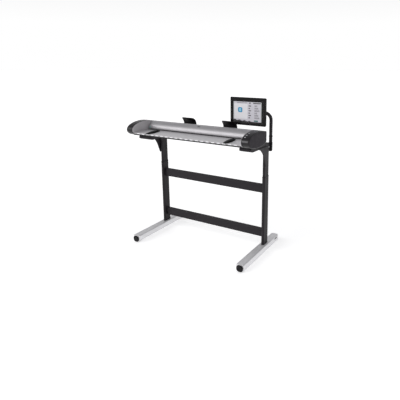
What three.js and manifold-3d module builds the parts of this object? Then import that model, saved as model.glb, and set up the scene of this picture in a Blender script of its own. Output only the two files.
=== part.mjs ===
// A wide-format sheet-feed scanner on a height-adjustable stand, with a touch monitor.
// Millimetres, +X to the operator's right, +Y away from the operator, +Z up.
// Heights are above the floor. Depths are measured from the centre plane of the columns,
// and the whole model is moved at the end so that its origin is under the middle of its box.
import * as THREE from 'three';
import { mergeVertices } from 'three/addons/utils/BufferGeometryUtils.js';
import Module from 'manifold-3d';

const wasm = await Module();
wasm.setup();

// ---- Driving dimensions -------------------------------------------------------------------
const GAP = 0.3;
const SIDES = { left: -1, right: 1 };

const COLUMN_X = 600;
const FOOT = { width: 79, bottom: 13, top: 69, front: -487, rear: 258, wall: 3.5 };
const FOOT_CAP = { width: 64, top: 66, depth: 13, glideRadius: 20, glideInset: 32 };
const FOOT_SLOT = { from: 154, length: 62, bottom: 48, height: 13 };
const OUTER_TUBE = { width: 30, depth: 94, corner: 12, wall: 2, top: 735 };
const INNER_TUBE = { width: 25.2, depth: 88.4, corner: 9.5, wall: 2, bottom: 430, top: 1036 };
const COLLAR = { grow: 1.6, height: 11 };
const CLAMP = { radius: 8, length: 4.5, z: 706, socket: 3.4, socketDepth: 2.5 };
const CROSSBAR = { depth: 28, height: 86, wall: 2.5, corner: 5, centres: { lower: 179, upper: 623 } };

const BRACKET = { inner: 499, outer: 616, plateBottom: 1031, plateTop: 1067, front: -323 };
const PLATE_OUTER = { left: 642, right: 616 };
const BRACKET_HEAD = { inner: 583, front: -60, rear: 50, bottom: 980, top: 1064 };
const GUSSET = { inner: 615, outer: 624, front: -203, rear: -20, bottom: 850 };
const TRAY_BOTTOM = 1080;
const MOUNT_PAD = { inner: 520, outer: 570, front: -296, rear: -240, top: TRAY_BOTTOM - GAP };
const BOLT = { radius: 7, head: 5, y: 20, z: 1022 };

const CAP_INNER = 593;
const CAP_OUTER = 667;
const CAP_WALL = 4;
const WALL_THICK = 2.4;
const BODY_HALF = CAP_INNER - WALL_THICK - GAP;

const TABLE = { front: -446, rear: -223, top: 1119, rise: 2, thick: 2.5, flangeBottom: 1109.8 };
const LIP = { front: -450, bottom: 1100, top: 1109.4 };
const DRIVE = { radius: 9, z: 1113, frontY: -212, rearY: -152, shaft: 4, pulley: 7 };
const GLASS = { front: -200, rear: -164, thick: 3 };
const DECK = { front: -140, rear: -124 };
const PINCH = { radius: 6, lift: 0.6 };
const MOTOR = { y: -236, z: 1100.5, radius: 11, pulley: 5, length: 32 };
const BELT = { width: 8, thick: 1.6, x: CAP_INNER + 10 };
const SENSOR_BAR = { half: 540, bottom: 1100, top: 1117 };
const SHEET = 2.5;
const TRAY_HALF = BODY_HALF - 0.6;

const BOARD = { x: 603, thick: 3, front: -400, rear: -190, bottom: 1100, top: 1190 };
const SUPPLY = { from: 220, to: 400, front: -400, rear: -260, bottom: 1098, top: 1114 };
const PANEL_Y = -127.7;
const INLET = { x: -645, z: 1131, width: 30, height: 22, depth: 13.7, rim: 4.5 };
const DATA_PORT = { x: -616.5, z: 1129, width: 13, height: 14, depth: 11.7, rim: 2 };
const SOCKET_FLOOR = 3.2;
const ROCKER = { x: -645, z: 1160, length: 14, width: 12 };

const LID_HALF = BODY_HALF - 1.2;
const LID_THICK = 3;
const LID_PIVOT = { y: -134, z: 1160, radius: 4, clearance: 0.4 };
const LAMP = { x: -566, radius: 4, height: 2 };

const GUIDE = { x: 426, front: -462, rear: -258, width: 56, height: 16 };
const FIN = { centres: { left: -220, right: 244 }, width: 152, thick: 4 };
const POST = { x: 614, y: 68, radius: 16, bottom: 974, top: 1110 };
const ARM_RADIUS = 15.5;
const MONITOR = { x: 412, width: 368, bottom: 1209, top: 1467, front: -10, depth: 34, bezel: 29 };
const TILT = { y: 42, z: 1338, radius: 12, from: 405, to: 462 };

// ---- Materials ----------------------------------------------------------------------------
function finish(color, roughness, metalness = 0) {
  return new THREE.MeshStandardMaterial({ color, roughness, metalness });
}
const MATERIALS = {
  blackPaint: finish(0x3d393d, 0.55, 0.2),
  blackPlastic: finish(0x141315, 0.45),
  charcoal: finish(0x393439, 0.6),
  greyPlastic: finish(0x8a878b, 0.55),
  silver: finish(0xb9b8ba, 0.32, 0.7),
  aluminium: finish(0xcfcfd2, 0.3, 0.85),
  steel: finish(0x9a9b9e, 0.35, 0.9),
  glass: finish(0xbfd4d4, 0.08),
  rubber: finish(0x1b1b1c, 0.85),
  white: finish(0xf0f0ee, 0.6),
  buttonGrey: finish(0xb4b4b8, 0.5),
  teal: finish(0x2f9a90, 0.4),
  boardGreen: finish(0x1f5a35, 0.6),
  screen: finish(0xe4e6ea, 0.25),
};

// ---- Shape helpers ------------------------------------------------------------------------
function outline(points) {
  return new THREE.Shape(points.map(([a, b]) => new THREE.Vector2(a, b)));
}

function roundedRect(width, height, radius) {
  const a = width / 2 - radius;
  const b = height / 2 - radius;
  const shape = new THREE.Shape();
  shape.absarc(a, -b, radius, -Math.PI / 2, 0);
  shape.absarc(a, b, radius, 0, Math.PI / 2);
  shape.absarc(-a, b, radius, Math.PI / 2, Math.PI);
  shape.absarc(-a, -b, radius, Math.PI, Math.PI * 1.5);
  return shape;
}

function circle(radius) {
  return new THREE.Shape().absarc(0, 0, radius, 0, Math.PI * 2);
}

function withHole(shape, hole) {
  shape.holes.push(hole);
  return shape;
}

function tubeSection(width, height, radius, wall) {
  return withHole(
    roundedRect(width, height, radius),
    roundedRect(width - 2 * wall, height - 2 * wall, Math.max(radius - wall, 1)),
  );
}

function extrude(shape, length, curveSegments = 4, options = {}) {
  return new THREE.ExtrudeGeometry(shape, { depth: length, bevelEnabled: false, curveSegments, ...options });
}

// Turns an extrusion so that its outline's two axes and its pull run along three world axes.
function turned(geometry, u, v, w) {
  return geometry.applyMatrix4(new THREE.Matrix4().makeBasis(u, v, w));
}
const X = new THREE.Vector3(1, 0, 0);
const Y = new THREE.Vector3(0, 1, 0);
const Z = new THREE.Vector3(0, 0, 1);

// The outline is drawn in (y, z) and pulled from x = from to x = to.
function alongX(shape, from, to, curveSegments, options) {
  return turned(extrude(shape, to - from, curveSegments, options), Y, Z, X).translate(from, 0, 0);
}

// The outline is drawn in (z, x) and pulled from y = from to y = to.
function alongY(shape, from, to, curveSegments, options) {
  return turned(extrude(shape, to - from, curveSegments, options), Z, X, Y).translate(0, from, 0);
}

// The outline is drawn in (x, y) and pulled from z = from to z = to.
function alongZ(shape, from, to, curveSegments, options) {
  return extrude(shape, to - from, curveSegments, options).translate(0, 0, from);
}

function block(x0, x1, y0, y1, z0, z1) {
  const geometry = new THREE.BoxGeometry(x1 - x0, y1 - y0, z1 - z0);
  return geometry.translate((x0 + x1) / 2, (y0 + y1) / 2, (z0 + z1) / 2);
}

// The same open line, moved sideways by a constant distance, to the right of its direction.
function offsetLine(points, distance) {
  const sideways = points.slice(1).map((point, i) => {
    const along = point.clone().sub(points[i]).normalize();
    return new THREE.Vector2(along.y, -along.x);
  });
  return points.map((point, i) => {
    const before = sideways[Math.max(i - 1, 0)];
    const after = sideways[Math.min(i, sideways.length - 1)];
    const mitre = before.clone().add(after).multiplyScalar(distance / (1 + before.dot(after)));
    return point.clone().add(mitre);
  });
}

// The section of a sheet of constant thickness that follows an open line.
function sheetSection(points, thick) {
  return new THREE.Shape([...points, ...offsetLine(points, thick).reverse()]);
}

// A span on one side of the centre plane, given by its distances from that plane.
function span(side, inner, outer) {
  return side > 0 ? [inner, outer] : [-outer, -inner];
}

// ---- Booleans -----------------------------------------------------------------------------
function toSolid(geometry) {
  const bare = geometry.clone();
  bare.deleteAttribute('normal');
  bare.deleteAttribute('uv');
  const merged = mergeVertices(bare, 1e-4);
  return new wasm.Manifold(new wasm.Mesh({
    numProp: 3,
    vertProperties: new Float32Array(merged.attributes.position.array),
    triVerts: new Uint32Array(merged.index.array),
  }));
}

function toGeometry(solid) {
  const mesh = solid.getMesh();
  const geometry = new THREE.BufferGeometry();
  geometry.setAttribute('position', new THREE.BufferAttribute(mesh.vertProperties, 3));
  geometry.setIndex(new THREE.BufferAttribute(mesh.triVerts, 1));
  geometry.computeVertexNormals();
  return geometry;
}

function join(...geometries) {
  return toGeometry(geometries.map(toSolid).reduce((sum, next) => sum.add(next)));
}

function cut(geometry, ...tools) {
  return toGeometry(tools.map(toSolid).reduce((rest, tool) => rest.subtract(tool), toSolid(geometry)));
}

function intersect(geometry, tool) {
  return toGeometry(toSolid(geometry).intersect(toSolid(tool)));
}

// ---- Scene helpers ------------------------------------------------------------------------
function part(name, geometry, material, x = 0, y = 0, z = 0) {
  const mesh = new THREE.Mesh(geometry, material);
  mesh.name = name;
  mesh.position.set(x, y, z);
  return mesh;
}

function group(...children) {
  return new THREE.Group().add(...children);
}

function bothSides(make) {
  return Object.entries(SIDES).flatMap(([name, side]) => make(name, side));
}

// ---- Stand --------------------------------------------------------------------------------
function foot(name, side) {
  const height = FOOT.top - FOOT.bottom;
  const rail = alongY(tubeSection(height, FOOT.width, 8, FOOT.wall), FOOT.front, FOOT.rear);
  rail.translate(0, 0, (FOOT.top + FOOT.bottom) / 2);
  const [x0, x1] = span(side, FOOT.width / 2 - 6, FOOT.width / 2 + 2);
  const { from, length, bottom } = FOOT_SLOT;
  const slot = block(x0, x1, from, from + length, bottom, bottom + FOOT_SLOT.height);
  return part(`${name}_foot`, cut(rail, slot), MATERIALS.aluminium, side * COLUMN_X);
}

// A plug against the rail's end, with a tongue under the rail that carries the glide.
function footCap(name, side, end, y, outward) {
  const plate = extrude(roundedRect(FOOT_CAP.width, FOOT_CAP.top - 4, 24), FOOT_CAP.depth - 6, 4, {
    bevelEnabled: true, bevelThickness: 3, bevelSize: 4, bevelOffset: -4, bevelSegments: 2,
  });
  turned(plate, X, Z, Y.clone().negate()).translate(0, FOOT_CAP.depth - 3, (FOOT_CAP.top + 4) / 2);
  const reach = FOOT_CAP.depth + FOOT_CAP.glideInset;
  const tongue = block(-15, 15, FOOT_CAP.depth - 4, reach, 4, FOOT.bottom - GAP);
  const glide = alongZ(circle(FOOT_CAP.glideRadius), 0, 8, 8).translate(0, reach, 0);
  const cap = join(plate, tongue, glide);
  const mesh = part(`${name}_${end}_foot_cap`, cap, MATERIALS.blackPlastic, side * COLUMN_X, y);
  mesh.rotation.z = outward > 0 ? Math.PI : 0;
  return mesh;
}

function outerColumn(name, side) {
  const { width, depth, corner, wall, top } = OUTER_TUBE;
  const tube = alongZ(tubeSection(width, depth, corner, wall), FOOT.top + GAP, top);
  return part(`${name}_outer_column`, tube, MATERIALS.blackPaint, side * COLUMN_X);
}

function collar(name, side) {
  const { width, depth, corner } = OUTER_TUBE;
  const outer = roundedRect(width + 2 * COLLAR.grow, depth + 2 * COLLAR.grow, corner + COLLAR.grow);
  const bore = roundedRect(INNER_TUBE.width + 1, INNER_TUBE.depth + 1, INNER_TUBE.corner);
  const ring = alongZ(withHole(outer, bore), 0, COLLAR.height);
  const z = OUTER_TUBE.top + GAP;
  return part(`${name}_column_collar`, ring, MATERIALS.blackPlastic, side * COLUMN_X, 0, z);
}

function crossbar(name) {
  const half = COLUMN_X - OUTER_TUBE.width / 2 - GAP;
  const { depth, height, corner, wall } = CROSSBAR;
  const bar = alongX(tubeSection(depth, height, corner, wall), -half, half);
  return part(`${name}_crossbar`, bar, MATERIALS.blackPaint, 0, 0, CROSSBAR.centres[name]);
}

// A low socket-head screw on the column's rear face, which clamps the inner column.
function clampScrew(name, side) {
  const head = alongY(circle(CLAMP.radius), 0, CLAMP.length, 6);
  const hexagon = new THREE.Shape(circle(CLAMP.socket).getSpacedPoints(6).slice(1));
  const socket = alongY(hexagon, CLAMP.length - CLAMP.socketDepth, CLAMP.length + 1);
  const y = OUTER_TUBE.depth / 2 + GAP;
  return part(`${name}_clamp_screw`, cut(head, socket), MATERIALS.steel, side * COLUMN_X, y, CLAMP.z);
}

function stand() {
  return group(
    ...bothSides((name, side) => [
      foot(name, side),
      footCap(name, side, 'front', FOOT.front - FOOT_CAP.depth - GAP, -1),
      footCap(name, side, 'rear', FOOT.rear + FOOT_CAP.depth + GAP, 1),
      outerColumn(name, side),
      collar(name, side),
      clampScrew(name, side),
    ]),
    crossbar('lower'),
    crossbar('upper'),
  );
}

// ---- Brackets and inner columns -------------------------------------------------------------
function innerColumn(name, side) {
  const { width, depth, corner, wall, bottom, top } = INNER_TUBE;
  const tube = alongZ(tubeSection(width, depth, corner, wall), bottom, top);
  return part(`${name}_inner_column`, tube, MATERIALS.blackPaint, side * COLUMN_X);
}

// The web that runs from the plate's side down past the front of the column, outside it.
function gussetOutline() {
  const { front, rear, bottom } = GUSSET;
  const top = BRACKET.plateBottom + 8;
  const shape = new THREE.Shape();
  shape.moveTo(front, top);
  shape.bezierCurveTo(-126, 1018, -104, 985, -81, 940);
  shape.lineTo(-58, 884);
  shape.lineTo(-44, bottom);
  shape.lineTo(rear, bottom);
  shape.lineTo(rear, top);
  return shape;
}

function plateOutline() {
  return outline([
    [BRACKET.front, 1042], [-306, 1034], [-290, BRACKET.plateBottom], [-20, BRACKET.plateBottom],
    [-20, BRACKET.plateTop - 4], [-24, BRACKET.plateTop], [BRACKET.front + 5, BRACKET.plateTop],
    [BRACKET.front, BRACKET.plateTop - 5],
  ]);
}

function headOutline() {
  const { front, rear, bottom, top } = BRACKET_HEAD;
  return outline([
    [front, bottom], [rear - 5, bottom], [rear, bottom + 5], [rear, top - 30], [rear - 28, top], [front, top],
  ]);
}

function supportArm(name, side) {
  const plate = alongX(plateOutline(), ...span(side, BRACKET.inner, PLATE_OUTER[name]));
  const head = alongX(headOutline(), ...span(side, BRACKET_HEAD.inner, BRACKET.outer));
  const gusset = alongX(gussetOutline(), ...span(side, GUSSET.inner, GUSSET.outer), 6);
  const pad = block(
    ...span(side, MOUNT_PAD.inner, MOUNT_PAD.outer), MOUNT_PAD.front, MOUNT_PAD.rear,
    BRACKET.plateTop - 2, MOUNT_PAD.top,
  );
  const socket = roundedRect(INNER_TUBE.width + 1, INNER_TUBE.depth + 1, INNER_TUBE.corner);
  const bore = alongZ(socket, BRACKET_HEAD.bottom - 20, INNER_TUBE.top + 1).translate(side * COLUMN_X, 0, 0);
  return part(`${name}_support_arm`, cut(join(plate, head, gusset, pad), bore), MATERIALS.blackPaint);
}

function armBolt(name, side) {
  const head = alongX(circle(BOLT.radius), 0, BOLT.head, 6);
  const x = side > 0 ? BRACKET.outer + GAP : -BRACKET.outer - GAP - BOLT.head;
  return part(`${name}_arm_bolt`, head, MATERIALS.steel, x, BOLT.y, BOLT.z);
}

// ---- End caps -----------------------------------------------------------------------------
// The side outline of the scanner's ends: a blunt nose at the front, a flat rear face.
function capOutline() {
  const shape = new THREE.Shape();
  shape.moveTo(-128, 1104);
  shape.lineTo(-128, 1188);
  shape.quadraticCurveTo(-128, 1196, -138, 1198);
  shape.bezierCurveTo(-185, 1207, -220, 1216, -270, 1217);
  shape.bezierCurveTo(-350, 1219, -466, 1197, -466, 1146);
  shape.bezierCurveTo(-466, 1126, -446, 1105, -412, 1094);
  shape.bezierCurveTo(-372, 1083, -332, 1076, -296, 1076);
  shape.lineTo(-238, 1076);
  shape.bezierCurveTo(-200, 1078, -160, 1092, -128, 1104);
  return shape;
}

// The same outline moved inwards by a constant distance.
function insetOutline(shape, inset, segments) {
  const points = shape.getPoints(segments);
  points.pop();
  const count = points.length;
  const moved = points.map((point, i) => {
    const before = points[(i + count - 1) % count];
    const after = points[(i + 1) % count];
    const along = after.clone().sub(before).normalize();
    return new THREE.Vector2(point.x - along.y * inset, point.y + along.x * inset);
  });
  return new THREE.Shape(moved);
}

// A smaller copy of the cap's outline about its middle, for the hollow inside it.
function hollowOutline() {
  const middle = new THREE.Vector2(-297, 1147);
  const shrink = new THREE.Vector2(0.965, 0.93);
  return new THREE.Shape(capOutline().getPoints(5).slice(0, -1).map((point) => (
    point.sub(middle).multiply(shrink).add(middle)
  )));
}

const BUTTONS = [
  { name: 'upper_button', x: 615, y: -364, width: 14, length: 9 },
  { name: 'middle_button', x: 615, y: -405, width: 14, length: 9 },
  { name: 'lower_button', x: 615, y: -434, width: 14, length: 9 },
  { name: 'wide_button', x: 630, y: -464.4, width: 54, length: 14 },
];
const BUTTON_DEPTH = 5;

// The point on the cap's upper front curve at a given depth, and the way out of the surface there.
function capSurfaceAt(y) {
  const points = capOutline().getPoints(40).filter((point) => point.y > 1146 && point.x < -270);
  const index = points.findIndex((point) => point.x < y);
  const after = points[index];
  const before = points[index - 1];
  const along = after.clone().sub(before);
  const z = before.y + (y - before.x) / along.x * along.y;
  return { z, out: new THREE.Vector3(0, along.y, -along.x).normalize() };
}

// Places a shape made around the origin, top along +Z, on the cap's curved front.
function onCapFront(object, button) {
  const { z, out } = capSurfaceAt(button.y);
  const place = new THREE.Matrix4().makeBasis(X, new THREE.Vector3(0, out.z, -out.y), out);
  place.setPosition(button.x, button.y, z);
  return object.applyMatrix4(place);
}

function buttonBlank(button, grow, depth) {
  const shape = roundedRect(button.width + 2 * grow, button.length + 2 * grow, 3);
  return alongZ(shape, -depth, 0, 3);
}

function endCap(name, side) {
  const bevel = { bevelEnabled: true, bevelThickness: 9, bevelSize: 7, bevelOffset: -7, bevelSegments: 3 };
  const solid = alongX(capOutline(), -40, CAP_OUTER - CAP_INNER - 9, 7, bevel);
  const keep = block(0, CAP_OUTER, -600, 0, 1000, 1300);
  const hollow = alongX(hollowOutline(), -10, CAP_OUTER - CAP_INNER - CAP_WALL - 8);
  let shell = cut(intersect(solid, keep), hollow).translate(CAP_INNER, 0, 0);
  if (side < 0) {
    shell = toGeometry(toSolid(shell).mirror([1, 0, 0]));
    return part(`${name}_end_cap`, shell, MATERIALS.charcoal);
  }
  const pockets = BUTTONS.map((button) => {
    const pocket = buttonBlank(button, GAP + 0.1, BUTTON_DEPTH + 2).translate(0, 0, 4);
    return onCapFront(pocket, button);
  });
  return part(`${name}_end_cap`, cut(shell, ...pockets), MATERIALS.charcoal);
}

function capButton(button) {
  const material = button.width > 20 ? MATERIALS.charcoal : MATERIALS.buttonGrey;
  const cap = buttonBlank(button, 0, 2.4).translate(0, 0, 1.6);
  return part(button.name, onCapFront(cap, button), material);
}

function innerWall(name, side) {
  const [x0, x1] = span(side, CAP_INNER - WALL_THICK - GAP, CAP_INNER - GAP);
  let plate = alongX(insetOutline(capOutline(), 1.5, 6), x0, x1, 6);
  if (side < 0) {
    const holes = [DRIVE.frontY, DRIVE.rearY].map((y) => (
      alongX(circle(DRIVE.shaft + 1), x0 - 5, x1 + 5, 6).translate(0, y, DRIVE.z)
    ));
    plate = cut(plate, ...holes);
  }
  return part(`${name}_inner_wall`, plate, MATERIALS.greyPlastic);
}

// ---- Scanner body ---------------------------------------------------------------------------
function chassis() {
  const tray = outline([
    [-438, 1115.5], [-438, 1109], [-404, 1096], [-300, TRAY_BOTTOM], [-236, TRAY_BOTTOM], [-170, 1089],
    [-134, 1099], [-131, 1110],
  ]).getPoints();
  return part('chassis', alongX(sheetSection(tray, -SHEET), -TRAY_HALF, TRAY_HALF), MATERIALS.steel);
}

function feedTable() {
  const { front, rear, top, rise, thick, flangeBottom } = TABLE;
  const plate = outline([
    [front, flangeBottom], [front + thick, flangeBottom], [front + thick, top - thick],
    [rear, top + rise - thick], [rear, top + rise], [front + 2, top], [front, top - 1],
  ]);
  return part('feed_table', alongX(plate, -TRAY_HALF, TRAY_HALF), MATERIALS.silver);
}

function frontLip() {
  const { front, bottom, top } = LIP;
  const strip = outline([
    [front + 1, bottom], [front + 8, bottom - 1], [front + 8, bottom + 1.5], [front + 3.6, bottom + 2],
    [front + 3.6, top - 0.4], [front + 3, top], [front + 1, top], [front, top - 1], [front, bottom + 1],
  ]);
  return part('front_lip', alongX(strip, -TRAY_HALF, TRAY_HALF), MATERIALS.charcoal);
}

function scanGlass() {
  const top = TABLE.top + TABLE.rise;
  const sheet = block(-BODY_HALF + 12, BODY_HALF - 12, GLASS.front, GLASS.rear, top - GLASS.thick, top);
  return part('scan_glass', sheet, MATERIALS.glass);
}

function sensorBar() {
  const { half, bottom, top } = SENSOR_BAR;
  const bar = block(-half, half, GLASS.front + 4, GLASS.rear - 4, bottom, top);
  return part('image_sensor_bar', bar, MATERIALS.blackPlastic);
}

// The rear deck carries the sheet out and curves down to the return fins' seat.
function rearDeck() {
  const top = TABLE.top + TABLE.rise;
  const sheet = outline([
    [DECK.front, top - 2.5], [-130, top - 3.5], [-126.5, top - 9], [-126.5, 1111], [-112, 1109],
    [-112, 1111.5], [-124, 1113.5], [DECK.rear, top - 8], [-128.5, top - 1.5], [DECK.front, top],
  ]);
  return part('rear_deck', alongX(sheet, -TRAY_HALF, TRAY_HALF), MATERIALS.charcoal);
}

function driveRoller(name, y) {
  const wall = CAP_INNER - WALL_THICK - GAP;
  const drum = alongX(circle(DRIVE.radius), -wall + 3, wall - 3, 8);
  const shaft = alongX(circle(DRIVE.shaft), -BELT.x - BELT.width - 4, -wall + 4, 5);
  const pulley = alongX(circle(DRIVE.pulley), -BELT.x - BELT.width, -BELT.x, 6);
  return part(name, join(drum, shaft, pulley), MATERIALS.rubber, 0, y, DRIVE.z);
}

function driveMotor() {
  const end = -BELT.x - BELT.width - 6;
  const can = alongX(circle(MOTOR.radius), end - MOTOR.length, end, 6);
  return part('drive_motor', can, MATERIALS.steel, 0, MOTOR.y, MOTOR.z);
}

function motorPulley() {
  const wheel = alongX(circle(MOTOR.pulley), -BELT.x - BELT.width - 1, -BELT.x, 6);
  return part('motor_pulley', wheel, MATERIALS.steel, 0, MOTOR.y, MOTOR.z);
}

// The closed line that a stretched belt takes around three pulleys, at a given offset.
function beltLine(offset) {
  const pulleys = [
    [DRIVE.frontY, DRIVE.z, DRIVE.pulley], [DRIVE.rearY, DRIVE.z, DRIVE.pulley],
    [MOTOR.y, MOTOR.z, MOTOR.pulley],
  ];
  const cloud = pulleys.flatMap(([y, z, radius]) => (
    circle(radius + offset).getSpacedPoints(28).slice(1).map((point) => point.add(new THREE.Vector2(y, z)))
  ));
  cloud.sort((a, b) => a.x - b.x || a.y - b.y);
  const turn = (a, b, c) => (b.x - a.x) * (c.y - a.y) - (b.y - a.y) * (c.x - a.x);
  const chain = (points) => points.reduce((hull, point) => {
    while (hull.length > 1 && turn(hull.at(-2), hull.at(-1), point) <= 1e-9) {
      hull.pop();
    }
    hull.push(point);
    return hull;
  }, []).slice(0, -1);
  return [...chain(cloud), ...chain([...cloud].reverse())];
}

function driveBelt() {
  const band = withHole(new THREE.Shape(beltLine(GAP + BELT.thick)), new THREE.Shape(beltLine(GAP)));
  return part('drive_belt', alongX(band, -BELT.x - BELT.width + 0.5, -BELT.x - 0.5), MATERIALS.rubber);
}

function electronics() {
  const board = block(BOARD.x, BOARD.x + BOARD.thick, BOARD.front, BOARD.rear, BOARD.bottom, BOARD.top);
  const supply = block(SUPPLY.from, SUPPLY.to, SUPPLY.front, SUPPLY.rear, SUPPLY.bottom, SUPPLY.top);
  return [
    part('main_board', board, MATERIALS.boardGreen),
    part('power_supply', supply, MATERIALS.steel),
  ];
}

// A housing that stands on the flat rear face of the left end cap, with a socket that opens to the rear.
function socketHousing(name, fitting, material) {
  const { x, z, width, height, depth, rim } = fitting;
  const body = alongY(roundedRect(height, width, 1.5), 0, depth, 2);
  const socket = alongY(roundedRect(height - 2 * rim, width - 2 * rim, 1), SOCKET_FLOOR, depth + 1, 2);
  return part(name, cut(body, socket), material, x, PANEL_Y, z);
}

// The rocker's outline is drawn from its upper end to its lower end, with the lower half standing out.
// Its back is a shallow vee, so that it can rock on its middle.
function powerSwitch() {
  const half = ROCKER.length / 2;
  const relief = 1;
  const side = outline([[-half, relief], [0, 0], [half, relief], [half, 2.5], [0, 1.6], [-half, 4.5]]);
  const rocker = turned(extrude(side, ROCKER.width), Z, Y, X.clone().negate());
  return part('power_switch', rocker, MATERIALS.blackPlastic, ROCKER.x + ROCKER.width / 2, PANEL_Y, ROCKER.z);
}

function lidPin(name, side) {
  const pin = alongX(circle(LID_PIVOT.radius), ...span(side, LID_HALF - 6, BODY_HALF - GAP), 6);
  return part(`${name}_lid_pin`, pin, MATERIALS.steel, 0, LID_PIVOT.y, LID_PIVOT.z);
}

// ---- Lid ------------------------------------------------------------------------------------
// The lid's outer line, from the lip over the paper throat, over the top, to the rear edge.
function lidLine() {
  const shape = new THREE.Shape();
  shape.moveTo(-226, 1127);
  shape.bezierCurveTo(-236, 1129, -244, 1134, -244, 1142);
  shape.bezierCurveTo(-243, 1172, -208, 1200, -160, 1201.5);
  shape.bezierCurveTo(-148, 1202, -133, 1198, -132, 1184);
  shape.lineTo(-127, 1150);
  return shape.getPoints(7);
}

function lidShell() {
  const skin = alongX(sheetSection(lidLine(), LID_THICK), -LID_HALF, LID_HALF);
  const filled = new THREE.Shape(offsetLine(lidLine(), 1));
  const plates = [-1, 1].map((side) => alongX(filled, ...span(side, LID_HALF - 3.5, LID_HALF)));
  const bore = alongX(circle(LID_PIVOT.radius + LID_PIVOT.clearance), -LID_HALF - 10, LID_HALF + 10, 6);
  bore.translate(0, LID_PIVOT.y, LID_PIVOT.z);
  const pinch = [DRIVE.frontY, DRIVE.rearY].map((y) => (
    alongX(circle(PINCH.radius + 1), -LID_HALF + 3.6, LID_HALF - 3.6, 6)
      .translate(0, y, pinchHeight())
  ));
  return part('lid_shell', cut(join(skin, ...plates), bore, ...pinch), MATERIALS.silver);
}

function pinchHeight() {
  return DRIVE.z + DRIVE.radius + PINCH.lift + PINCH.radius;
}

function pinchRoller(name, y) {
  const roller = alongX(circle(PINCH.radius), -LID_HALF + 6, LID_HALF - 6, 6);
  return part(name, roller, MATERIALS.rubber, 0, y, pinchHeight());
}

function platen() {
  const base = TABLE.top + TABLE.rise + 4;
  return part('platen', block(-570, 570, GLASS.front + 2, GLASS.rear - 2, base, base + 5), MATERIALS.white);
}

// A small lens on the steepest facet of the lid's front.
function statusLamp() {
  const [low, high] = lidLine().slice(7, 9);
  const along = high.clone().sub(low).normalize();
  const out = new THREE.Vector3(0, -along.y, along.x);
  const up = new THREE.Vector3(0, along.x, along.y);
  const lens = turned(extrude(circle(LAMP.radius), LAMP.height, 5), X, up, out);
  const seat = low.clone().add(high).multiplyScalar(0.5);
  return part('status_lamp', lens, MATERIALS.teal, LAMP.x, seat.x + GAP * out.y, seat.y + GAP * out.z);
}

// ---- Guides, fins and monitor ----------------------------------------------------------------
function paperGuide(name, side) {
  const length = GUIDE.rear - GUIDE.front;
  const leaf = new THREE.Shape();
  leaf.moveTo(0, 0);
  leaf.bezierCurveTo(GUIDE.width * 0.55, length * 0.2, GUIDE.width * 0.66, length * 0.7, 8, length);
  leaf.lineTo(-8, length);
  leaf.bezierCurveTo(-GUIDE.width * 0.66, length * 0.7, -GUIDE.width * 0.55, length * 0.2, 0, 0);
  const blade = extrude(leaf, GUIDE.height - 3, 6, {
    bevelEnabled: true, bevelThickness: 3, bevelSize: 5, bevelOffset: -5, bevelSegments: 2,
  });
  const flat = block(-60, 60, -10, length + 10, -1, 20);
  const body = intersect(blade, flat).translate(0, 0, 1);
  const z = TABLE.top + TABLE.rise + GAP;
  return part(`${name}_paper_guide`, body, MATERIALS.blackPlastic, side * GUIDE.x, GUIDE.front, z);
}

// A tongue that turns the sheet back towards the operator.
function returnFin(name) {
  const curve = new THREE.SplineCurve([
    [-116, 1114], [-85, 1119], [-51, 1138], [-37, 1170], [-44, 1208], [-73, 1246],
  ].map(([y, z]) => new THREE.Vector2(y, z)));
  const [x0, x1] = [FIN.centres[name] - FIN.width / 2, FIN.centres[name] + FIN.width / 2];
  const shape = sheetSection(curve.getPoints(12), -FIN.thick);
  return part(`${name}_return_fin`, alongX(shape, x0, x1), MATERIALS.blackPlastic);
}

function monitorPost() {
  const post = alongZ(circle(POST.radius), POST.bottom, POST.top, 6);
  return part('monitor_post', post, MATERIALS.blackPaint, POST.x, POST.y);
}

function monitorArm() {
  const start = new THREE.Vector3(POST.x, POST.y, POST.top + GAP);
  const bend = new THREE.Vector3(POST.x, POST.y, 1262);
  const end = new THREE.Vector3(520, TILT.y, TILT.z);
  const path = new THREE.CurvePath();
  path.add(new THREE.LineCurve3(start, bend));
  path.add(new THREE.CubicBezierCurve3(
    bend, new THREE.Vector3(POST.x, POST.y, 1312), new THREE.Vector3(580, TILT.y, TILT.z), end,
  ));
  path.add(new THREE.LineCurve3(end, new THREE.Vector3(TILT.to + 0.6, TILT.y, TILT.z)));
  const tube = extrude(circle(ARM_RADIUS), 1, 3, { steps: 26, extrudePath: path });
  return part('monitor_arm', tube, MATERIALS.blackPaint);
}

function monitorBack() {
  const height = MONITOR.top - MONITOR.bottom;
  const rear = MONITOR.front + MONITOR.depth;
  const shell = alongY(roundedRect(height - 4, MONITOR.width - 4, 8), MONITOR.front + 8, rear, 3);
  shell.translate(MONITOR.x, 0, MONITOR.bottom + height / 2);
  const knuckle = alongX(circle(TILT.radius), TILT.from, TILT.to, 6).translate(0, TILT.y, TILT.z);
  const foot = block(TILT.from + 5, TILT.to - 5, rear - 2, TILT.y, TILT.z - 9, TILT.z + 9);
  return part('monitor_back', join(shell, knuckle, foot), MATERIALS.blackPlastic);
}

function monitorBezel() {
  const height = MONITOR.top - MONITOR.bottom;
  const { width, bezel, front } = MONITOR;
  const window = roundedRect(height - 2 * bezel, width - 2 * bezel, 0.5);
  const ring = alongY(withHole(roundedRect(height, width, 9), window), front, front + 7.7, 3);
  return part('monitor_bezel', ring, MATERIALS.blackPlastic, MONITOR.x, 0, MONITOR.bottom + height / 2);
}

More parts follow.
